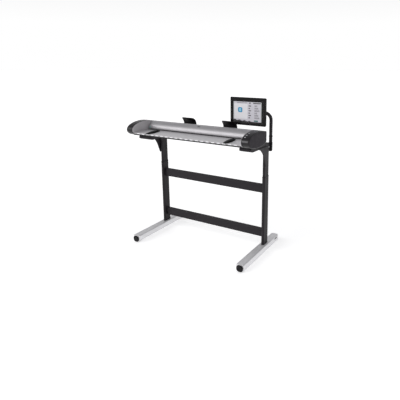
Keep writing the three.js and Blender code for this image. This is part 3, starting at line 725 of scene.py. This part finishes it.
def build_table():
    """A sheet whose front edge is folded down, with light dashes along the fold: a painted highlight of its
    edge.
    """
    low, high = span("feed_table")
    thick = TABLE_THICKNESS
    fold = high.z - TABLE_RISE
    line = line_through(
        (low.y, low.z), [(low.y, fold - 3)], [(low.y, fold - 0.4), (low.y + 3, fold)], [(high.y, high.z)],
        steps=5,
    )
    base = [
        (high.y, high.z - thick), (low.y + 3, fold - thick),
        (low.y + thick, fold - 3), (low.y + thick, low.z),
    ]
    plate = prism(line + base, "x", low.x, high.x)
    grooves = []
    for offset in GROOVE_OFFSETS:
        y = low.y + offset
        z = fold + TABLE_RISE * offset / (high.y - low.y)
        grooves.append(prism(rounded_rect(0.8, 1.0, 0.3, (y, z), 2), "x", low.x + 8, high.x - 8))
    piece("feed_table_plate", [plate], "table", "head", "feed_table", grooves)
    face, back = low.y - 0.25, low.y + 0.6
    band = [(face, low.z + 0.4), (face, fold - 2), (back, fold - 2), (back, low.z + 0.4)]
    piece("table_edge_band", [prism(band, "x", low.x + 1, high.x - 1)], "band", "head")
    # The light dashes on the fold's front face are painted highlight: they stand for the glint along the
    # edge.
    count = int((high.x - low.x - 40) // MARK_PITCH)
    highlight_dashes = []
    for i in range(count):
        x = (i - (count - 1) / 2) * MARK_PITCH
        outline = rounded_rect(MARK_LENGTH, fold - low.z - 3, 2, (x, (fold + low.z) / 2), 3)
        highlight_dashes.append(prism(outline, "y", low.y - 1.1, low.y + 0.4, 0.4, 2))
    piece("table_edge_glints", highlight_dashes, "highlight_dashes", "head")


def build_lip():
    low, high = span("front_lip")
    line = line_through(
        (low.y + 8, low.z), [(low.y + 2, low.z + 0.6)], [(low.y, low.z + 1), (low.y, low.z + 3)],
        [(low.y, high.z - 2)], [(low.y, high.z - 0.2), (low.y + 1.6, high.z)], [(low.y + 3.4, high.z)],
        steps=5,
    )
    back = [(low.y + 3.6, high.z - 1), (low.y + 3.6, low.z + 3.2), (low.y + 8, low.z + 2.6)]
    piece("front_lip_strip", [prism(line + back, "x", low.x, high.x)], "black", "head", "front_lip")


def roller(node, body, core, sleeves, drum):
    """A steel core with rubber sleeves spaced along it."""
    low, high = span(node)
    centre = midpoint(low, high, "yz")
    half = high.x - 3
    pitch = 2 * half / sleeves
    bands = []
    for i in range(sleeves):
        start, end = -half + pitch * i + 4, -half + pitch * (i + 1) - 4
        profile = [(start, drum - 0.8), (start + 0.8, drum), (end - 0.8, drum), (end, drum - 0.8)]
        bands.append(turned(profile, "x", centre))
    piece(f"{node}_core", [turned(core(low, high), "x", centre)], "steel", body, node)
    piece(f"{node}_sleeves", bands, "rubber", body)


def build_rollers():
    def drive_core(low, high):
        pulley_end = low.x + 4
        return [
            (low.x, 3), (low.x + 1, 4), (pulley_end, 4), (pulley_end, 7), (pulley_end + 0.8, 7),
            (pulley_end + 0.8, 6.2), (pulley_end + 7.2, 6.2), (pulley_end + 7.2, 7), (pulley_end + 8, 7),
            (pulley_end + 8, 4), (-high.x, 4), (-high.x, 7.4), (high.x - 0.5, 7.4), (high.x, 6.9),
        ]

    def pinch_core(low, high):
        return [(low.x, 3), (low.x + 0.5, 3.5), (high.x - 0.5, 3.5), (high.x, 3)]

    for end in ("front", "rear"):
        roller(f"{end}_drive_roller", f"{end}_drive", drive_core, 12, 9)
        roller(f"{end}_pinch_roller", f"{end}_pinch", pinch_core, 12, 6)


LID_AXIS = (-134, 1160)


def build_lid():
    line = line_through(
        (-226, 1127), [(-236, 1129), (-244, 1134), (-244, 1142)],
        [(-243, 1172), (-208, 1200), (-160, 1201.5)], [(-148, 1202), (-133, 1198), (-132, 1184)],
        [(-127, 1150)], steps=18,
    )
    low, high = span("lid_shell")
    skin = prism(sheet_section(line, 3), "x", low.x, high.x)
    bore = [turned([(-620, 4.6), (620, 4.6)], "x", LID_AXIS)]
    slot = moved_sideways(line, 0.2)
    seam_at = next(p for p in slot if p[0] > -166)
    groove = rounded_rect(1.0, 1.6, 0.3, (seam_at[0], seam_at[1] + 0.3), 2)
    seam = prism(groove, "x", low.x - 2, high.x + 2)
    piece("lid_cover", [skin], "lid", "lid", "lid_shell", bore + [seam])
    filled = moved_sideways(line, 3.1)
    for name, side in SIDES.items():
        x0, x1 = sorted((side * (high.x - 4), side * (high.x - 0.4)))
        piece(f"lid_{name}_plate", [prism(filled, "x", x0, x1)], "lid", "lid", cuts=bore)
    top = [p for p in line if p[1] > 1185][:4]
    (a, b), (c, d) = top[1], top[2]
    lean = math.atan2(d - b, c - a)
    seat = Matrix.Translation(place(0, (a + c) / 2, (b + d) / 2)) @ Matrix.Rotation(lean, 4, "X")
    badge = seated(prism(rounded_rect(30, 9, 3), "z", -0.8, 0.5, 0.3, 2), seat)
    piece("lid_badge", [badge], "panel", "lid")
    keep("status_lamp", "lens", 0.5)
    keep("platen", "white", 1.0)


def build_pins():
    for name in SIDES:
        low, high = span(f"{name}_lid_pin")
        centre = midpoint(low, high, "yz")
        pin = turned([(low.x, 3.5), (low.x + 0.5, 4), (high.x - 0.5, 4), (high.x, 3.5)], "x", centre)
        piece(f"{name}_hinge_pin", [pin], "steel", "head", f"{name}_lid_pin")


def build_drive():
    low, high = span("drive_motor")
    centre = midpoint(low, high, "yz")
    can = turned(
        [(low.x, 9.5), (low.x + 1.5, 11), (low.x + 8, 11), (low.x + 8.5, 10.5), (low.x + 10, 10.5),
         (low.x + 10.5, 11), (high.x - 1, 11), (high.x, 10)], "x", centre,
    )
    piece("drive_motor_can", [can], "steel", "head", "drive_motor")
    low, high = span("motor_pulley")
    centre = midpoint(low, high, "yz")
    flanges = [(low.x, 5), (low.x + 1, 5), (low.x + 1, 4.3), (high.x - 1, 4.3), (high.x - 1, 5), (high.x, 5)]
    wheel = turned(flanges, "x", centre)
    piece("motor_pulley_wheel", [wheel], "steel", "motor_rotor", "motor_pulley")


def build_fittings():
    keep("power_inlet", "black", 0.8)
    keep("data_port", "steel", 0.4)
    keep("power_switch", "black", 0.5)
    low, high = span("power_inlet")
    blades = []
    for dx, dz in ((-6, -1), (0, 1.5), (6, -1)):
        middle = (low + high) / 2 + Vector((dx, 0, dz))
        inner = (middle.x - 1, high.y - 9, middle.z - 2)
        outer = (middle.x + 1, high.y - 2.5, middle.z + 2)
        blades.append(block(inner, outer, 0.4))
    piece("power_inlet_blades", blades, "steel", "head")


def build_body():
    for name in SIDES:
        build_bracket(name)
        build_cap(name)
        build_inner_wall(name)
    build_buttons()
    build_table()
    build_lip()
    build_rollers()
    build_lid()
    build_pins()
    build_drive()
    build_fittings()
    keep("chassis", "steel", 0.8)
    keep("rear_deck", "panel", 0.5)
    keep("scan_glass", "glass", 0.6)
    keep("image_sensor_bar", "black", 1.0)
    keep("drive_belt", "rubber", 0.3)
    keep("main_board", "board", 0.3)
    keep("power_supply", "steel", 1.2)


# ---- Guides and fins --------------------------------------------------------------------------------
def build_guide(name):
    """A leaf-shaped block, pointed at the front and rounded over on top."""
    low, high = span(f"{name}_paper_guide")
    middle = (low.x + high.x) / 2
    half = (high.x - low.x) / 2
    length = high.y - low.y
    tall = high.z - low.z
    rows, across = 44, 22
    loops = []
    for i in range(rows + 1):
        t = 0.004 + 0.992 * i / rows
        width = half * math.sin(math.pi * t ** 0.75) ** 0.62
        rise = 0.2 + 0.8 * math.sin(math.pi * min(t * 0.8, 0.5)) ** 1.2
        crest = tall * rise * (1 - 0.75 * max(t - 0.8, 0) / 0.2)
        y = low.y + length * t
        top = []
        for j in range(across + 1):
            s = -1 + 2 * j / across
            top.append(place(middle + width * s, y, low.z + crest * (1 - abs(s) ** 3.2) ** 0.55 + 0.02))
        base = [place(middle + width * s, y, low.z) for s in (0.98, 0.5, 0, -0.5, -0.98)]
        loops.append(top + base)
    piece(f"{name}_guide_leaf", [loft(loops)], "leaf", f"{name}_guide", f"{name}_paper_guide")


FIN_THICKNESS = 4
FIN_LENGTH = 190
FIN_CORNERS = (9, 26)


def fin_line(steps):
    """A smooth line through the fin's chosen points, from its seat to its tip."""
    knots = [(-116, 1114), (-85, 1119), (-51, 1138), (-37, 1170), (-44, 1208), (-73, 1246)]
    before = tuple(2 * a - b for a, b in zip(knots[0], knots[1]))
    after = tuple(2 * a - b for a, b in zip(knots[-1], knots[-2]))
    padded = [before, *knots, after]
    points = []
    for i in range(steps + 1):
        t = (len(knots) - 1) * i / steps
        k = min(int(t), len(knots) - 2)
        u = t - k
        a, b, c, d = padded[k:k + 4]
        points.append(tuple(
            q + 0.5 * ((r - p) * u + (2 * p - 5 * q + 4 * r - s) * u * u + (3 * q - p - 3 * r + s) * u ** 3)
            for p, q, r, s in zip(a, b, c, d)
        ))
    return points


def build_fin(name):
    low, high = span(f"{name}_return_fin")
    steps, columns = 48, 72
    line = fin_line(steps)
    loops = []
    for depth_side in (0, 1):
        rows = []
        for i, (y, z) in enumerate(moved_sideways(line, -FIN_THICKNESS if depth_side else 0)):
            left_over = (steps - i) / steps * FIN_LENGTH
            cut = [max(0.0, r - left_over) for r in FIN_CORNERS]
            sharp, soft = [r - math.sqrt(max(r * r - c * c, 0)) for r, c in zip(FIN_CORNERS, cut)]
            x0, x1 = low.x + sharp, high.x - soft
            rows.append([place(x0 + (x1 - x0) * j / columns, y, z) for j in range(columns + 1)])
        loops.append(rows)
    back, front = loops
    solid = [back[i] + front[i][::-1] for i in range(steps + 1)]
    piece(f"{name}_fin_blade", [loft(solid)], "black", f"{name}_fin", f"{name}_return_fin", edge=0.6)


# ---- Monitor ------------------------------------------------------------------------------------------
TILT_AXIS = (42, 1338)
TILT_LUG = (410, 457)


def frame_ring(width, height, centre, rows):
    """A frame: rows are (inset, corner radius, depth), joined in a ring."""
    outlines = [(rounded_rect(width - 2 * i, height - 2 * i, r, centre, 6), y) for i, r, y in rows]
    return pulled(outlines, "y", ring=True)


def build_monitor():
    low, high = span("monitor_bezel")
    width, height = high.x - low.x, high.z - low.z
    centre = midpoint(low, high, "xz")
    front, rear = low.y, high.y
    rows = [
        (0, 9, rear), (0, 9, front + 3), (0.5, 8.6, front + 1.4), (1.6, 8, front + 0.4), (3.4, 7, front),
        (20, 3, front + 0.2), (27.2, 1.5, front + 1.6), (29, 0.8, front + 2.6), (29, 0.6, rear),
    ]
    piece("monitor_frame", [frame_ring(width, height, centre, rows)], "bezel", "monitor", "monitor_bezel")
    build_monitor_back()
    build_screen()


def build_monitor_back():
    low, high = span("monitor_bezel")
    centre = midpoint(low, high, "xz")
    width, height = high.x - low.x - 4, high.z - low.z - 4
    front = span("monitor_back")[0].y
    rear = front + 26
    outline = rounded_rect(width, height, 8, centre, 8)
    rows = [(outline, front), (outline, front + 9)]
    rows += [
        (shrunk(outline, 14 * (1 - math.cos(t))), front + 9 + (rear - front - 9) * math.sin(t))
        for t in [math.pi / 2 * i / 8 for i in range(1, 9)]
    ]
    shell = pulled(rows, "y")
    vents = []
    for i in range(17):
        slit = rounded_rect(3, 26, 1.4, (centre[0] + 9 * (i - 8), centre[1] + 84), 3)
        vents.append(prism(slit, "y", rear - 4, rear + 4))
    plate = prism(rounded_rect(100, 100, 8, centre, 5), "y", rear - 1, rear + 2.5, 1)
    lug_line = line_through((22, 1329), [(42, 1327)], [(54, 1328), (54, 1348), (42, 1349)], [(22, 1347)])
    lug = prism(lug_line, "x", *TILT_LUG, 1)
    screws = [
        turned(button_profile(rear + 2, rear + 4.6, 4), "y", (centre[0] + dx, centre[1] + dz), 20)
        for dx in (-40, 40) for dz in (-40, 40)
    ]
    piece("monitor_rear_shell", [shell], "black", "monitor", "monitor_back", vents)
    bore = turned([(TILT_LUG[0] - 5, 6.4), (TILT_LUG[1] + 5, 6.4)], "x", TILT_AXIS)
    piece("monitor_mount_plate", [plate], "paint", "monitor")
    piece("monitor_tilt_lug", [lug], "paint", "monitor", cuts=[bore])
    piece("monitor_mount_screws", screws, "steel", "monitor")


SCREEN_MASK = {"left": 4, "right": 14, "low": 7, "high": 11}


def build_screen():
    low, high = span("monitor_screen")
    face = low.y
    width, height = high.x - low.x, high.z - low.z
    lit_low = (low.x + SCREEN_MASK["left"], low.z + SCREEN_MASK["low"])
    lit_size = (high.x - SCREEN_MASK["right"] - lit_low[0], high.z - SCREEN_MASK["high"] - lit_low[1])

    def at(a, c):
        """A point on the lit area, given as shares of its width and height."""
        return lit_low[0] + a * lit_size[0], lit_low[1] + c * lit_size[1]

    def patch(a, b, c, d):
        """A thin raised area: left, right, low and high as shares of the lit area."""
        (x0, z0), (x1, z1) = at(a, c), at(b, d)
        middle = ((x0 + x1) / 2, (z0 + z1) / 2)
        outline = rounded_rect(x1 - x0, z1 - z0, min(1.2, (z1 - z0) / 3), middle, 3)
        return prism(outline, "y", face - 0.1, face + 0.2)

    rim = rounded_rect(width, height, 0.5, midpoint(low, high, "xz"), 2)
    ground = prism(rim, "y", low.y, high.y)
    piece("screen_ground", [ground], "screen", "monitor", "monitor_screen")
    piece("screen_card", [patch(0.03, 0.505, 0.13, 0.90)], "screen_card", "monitor")
    edges = [patch(0, 0.02, 0.06, 1), patch(0.975, 1, 0, 1)]
    piece("screen_edges", edges, "screen_edge", "monitor")
    # The bar from 0.71 to 0.97 across the top right is a painted reflection of the bezel. It shares one
    # material with the dark bars.
    bars = [
        patch(0.56, 0.62, 0.915, 0.965), patch(0.71, 0.97, 0.915, 0.965), patch(0.12, 0.5, 0.935, 0.955),
    ]
    piece("screen_bars", bars, "screen_bezel_reflection_and_bar", "monitor")
    rows = []
    for i in range(6):
        base = 0.17 + 0.12 * i
        rows.append(patch(0.545, 0.60 + 0.035 * (i % 2), base, base + 0.055))
        for low_edge in (base, base + 0.045):
            rows.append(patch(0.75, 0.93 - 0.04 * (i % 3), low_edge, low_edge + 0.022))
    piece("screen_rows", rows, "screen_text", "monitor")
    build_screen_icon(at(0.246, 0.58), face)
    piece("screen_badge", [patch(0.74, 0.88, 0.015, 0.085)], "screen_teal", "monitor")
    # A dark wavy band along the bottom left of the lit area: painted shade from the bezel, laid over the
    # display's picture.
    hill = [at(0.62 * i / 24, 0.075 + 0.024 * math.sin(i * 0.9) - 0.0022 * i) for i in range(25)]
    shade = prism([at(0, 0.002), *hill, at(0.62, 0.002)], "y", face - 0.1, face + 0.2)
    piece("screen_painted_shade", [shade], "screen_painted_shade", "monitor")
    opening = rounded_rect(*lit_size, 1, at(0.5, 0.5), 2)
    near, far = face - 0.3, face + 0.2
    mask = pulled([(rim, far), (rim, near), (opening, near), (opening, far)], "y", ring=True)
    piece("screen_mask", [mask], "bezel", "monitor")


def build_screen_icon(centre, face):
    """A plain tile with a blank page on it."""
    x, z = centre
    tile = prism(rounded_rect(47, 47, 13, centre, 5), "y", face - 0.25, face + 0.2)
    page = prism(rounded_rect(20, 27, 2, centre, 3), "y", face - 0.4, face)
    stripes = [rounded_rect(13, 2.8, 0.7, (x, z + dz), 2) for dz in (-6.5, 0, 6.5)]
    lines = [prism(stripe, "y", face - 0.5, face) for stripe in stripes]
    piece("screen_icon", [tile, *lines], "screen_blue", "monitor")
    piece("screen_icon_page", [page], "screen_page", "monitor")


ARM_RADIUS = 15.5


def arm_path():
    """The arm's centre line, from the top of its post over to the tilt joint, in millimetres."""
    low, high = span("monitor_post")
    x, y = midpoint(low, high, "xy")
    bend = [(x, y, 1262), (x, y, 1312), (580, *TILT_AXIS), (520, *TILT_AXIS)]
    return [(x, y, high.z + 0.3), *[bezier_point(bend, t / 24) for t in range(25)], (462.6, *TILT_AXIS)]


def swept(path, radius, steps=28):
    """A round bar along a line of points."""
    points = [place(*p) for p in path]
    frame_up = Vector((0, 1, 0))
    loops = []
    for i, here in enumerate(points):
        before, after = points[max(i - 1, 0)], points[min(i + 1, len(points) - 1)]
        along = (after - before).normalized()
        side = frame_up.cross(along).normalized()
        frame_up = along.cross(side).normalized()
        loops.append([here + (side * math.cos(a) + frame_up * math.sin(a)) * radius * MM
                      for a in [math.tau * k / steps for k in range(steps)]])
    return loft(loops)


def saddle(centre, radius, bottom, top):
    """A clamp round the post, with a block that reaches the bracket head's rear face."""
    x, y = centre
    foot_y = span("right_support_arm")[1].y + 0.3
    band = pipe(circle(radius + 2.5, centre, 32), circle(radius + 0.3, centre, 32), "z", bottom, top)
    lug = block((x - 13, foot_y, bottom), (x + 13, y - radius - 1.2, top), 0.8)
    return [band, lug]


def build_arm():
    low, high = span("monitor_post")
    centre = midpoint(low, high, "xy")
    radius = (high.x - low.x) / 2
    top = high.z + 0.3
    piece("monitor_arm_tube", [swept(arm_path(), ARM_RADIUS)], "paint", "arm", "monitor_arm")
    profile = [(low.z, radius - 5), (low.z + 1.5, radius - 1.5), (low.z + 5, radius)]
    post = turned([*profile, (high.z - 2, radius), (high.z, radius - 1)], "z", centre)
    piece("monitor_post_tube", [post], "paint", "head", "monitor_post")
    rings = [(0.5, 0.1), (0.5, 2.1), (1.5, 2.7), (8.5, 2.7), (10, 1.7), (10, 0.1)]
    collar = turned([(top + rise, ARM_RADIUS + out) for rise, out in rings], "z", centre)
    piece("monitor_arm_collar", [collar], "black", "arm")
    clamp = saddle(centre, radius, low.z + 12, low.z + 84)
    piece("post_saddle_clamp", clamp, "black", "head")
    profile = [(402.5, 10.5), (403.5, 12), (409.5, 12), (409.5, 6), (457.5, 6), (457.5, 12), (462.3, 12)]
    hub = turned(profile, "x", TILT_AXIS)
    piece("monitor_tilt_barrel", [hub], "black", "arm")


build_stand()
build_body()
for side_name in SIDES:
    build_guide(side_name)
    build_fin(side_name)
build_monitor()
build_arm()


# ---- Floor, light and camera -----------------------------------------------------------------------
def build_floor():
    corners = [(-60, -60), (60, -60), (60, 60), (-60, 60)]
    square = ([Vector((*corner, -0.0002)) for corner in corners], [(0, 1, 2, 3)])
    floor = new_object("floor", new_mesh("floor", [square]))
    pale = Finish("studio_floor", (0.9, 0.9, 0.9), 0.6)
    pale.tint(pale.noise(3, 3), 0.01)
    pale.set("Emission Color", (1.0, 1.0, 1.0, 1.0))
    pale.set("Emission Strength", 0.42)
    floor.data.materials.append(pale.material)


def build_world():
    """A soft studio surround: white at the horizon, greyer overhead."""
    world = bpy.data.worlds.new("studio")
    bpy.context.scene.world = world
    world.use_nodes = True
    tree = world.node_tree
    coords = tree.nodes.new("ShaderNodeTexCoord")
    parts = tree.nodes.new("ShaderNodeSeparateXYZ")
    ramp = tree.nodes.new("ShaderNodeValToRGB")
    tree.links.new(coords.outputs["Generated"], parts.inputs["Vector"])
    tree.links.new(parts.outputs["Z"], ramp.inputs["Fac"])
    tree.links.new(ramp.outputs["Color"], tree.nodes["Background"].inputs["Color"])
    low, high = ramp.color_ramp.elements
    low.position, low.color = 0.08, (1.0, 1.0, 1.0, 1.0)
    high.position, high.color = 0.7, (0.42, 0.42, 0.43, 1.0)


def build_key_light():
    light = bpy.data.lights.new("key", "SUN")
    light.energy = 1.6
    light.angle = math.radians(50)
    lamp = new_object("key", light)
    toward = Vector((-0.5, -0.68, 0.5))
    lamp.rotation_euler = toward.to_track_quat("Z", "Y").to_euler()


def build_camera():
    lens = bpy.data.cameras.new("camera")
    lens.lens = 35.87
    lens.sensor_width = 36
    lens.shift_x, lens.shift_y = -0.0885, -0.118
    camera = new_object("camera", lens)
    camera.location = place(2128, -3239, 1802)
    camera.rotation_euler = (math.radians(90 - 13.14), 0, math.radians(29.75))
    bpy.context.scene.camera = camera


build_floor()
build_world()
build_key_light()
build_camera()
bpy.context.scene.view_settings.view_transform = "Standard"
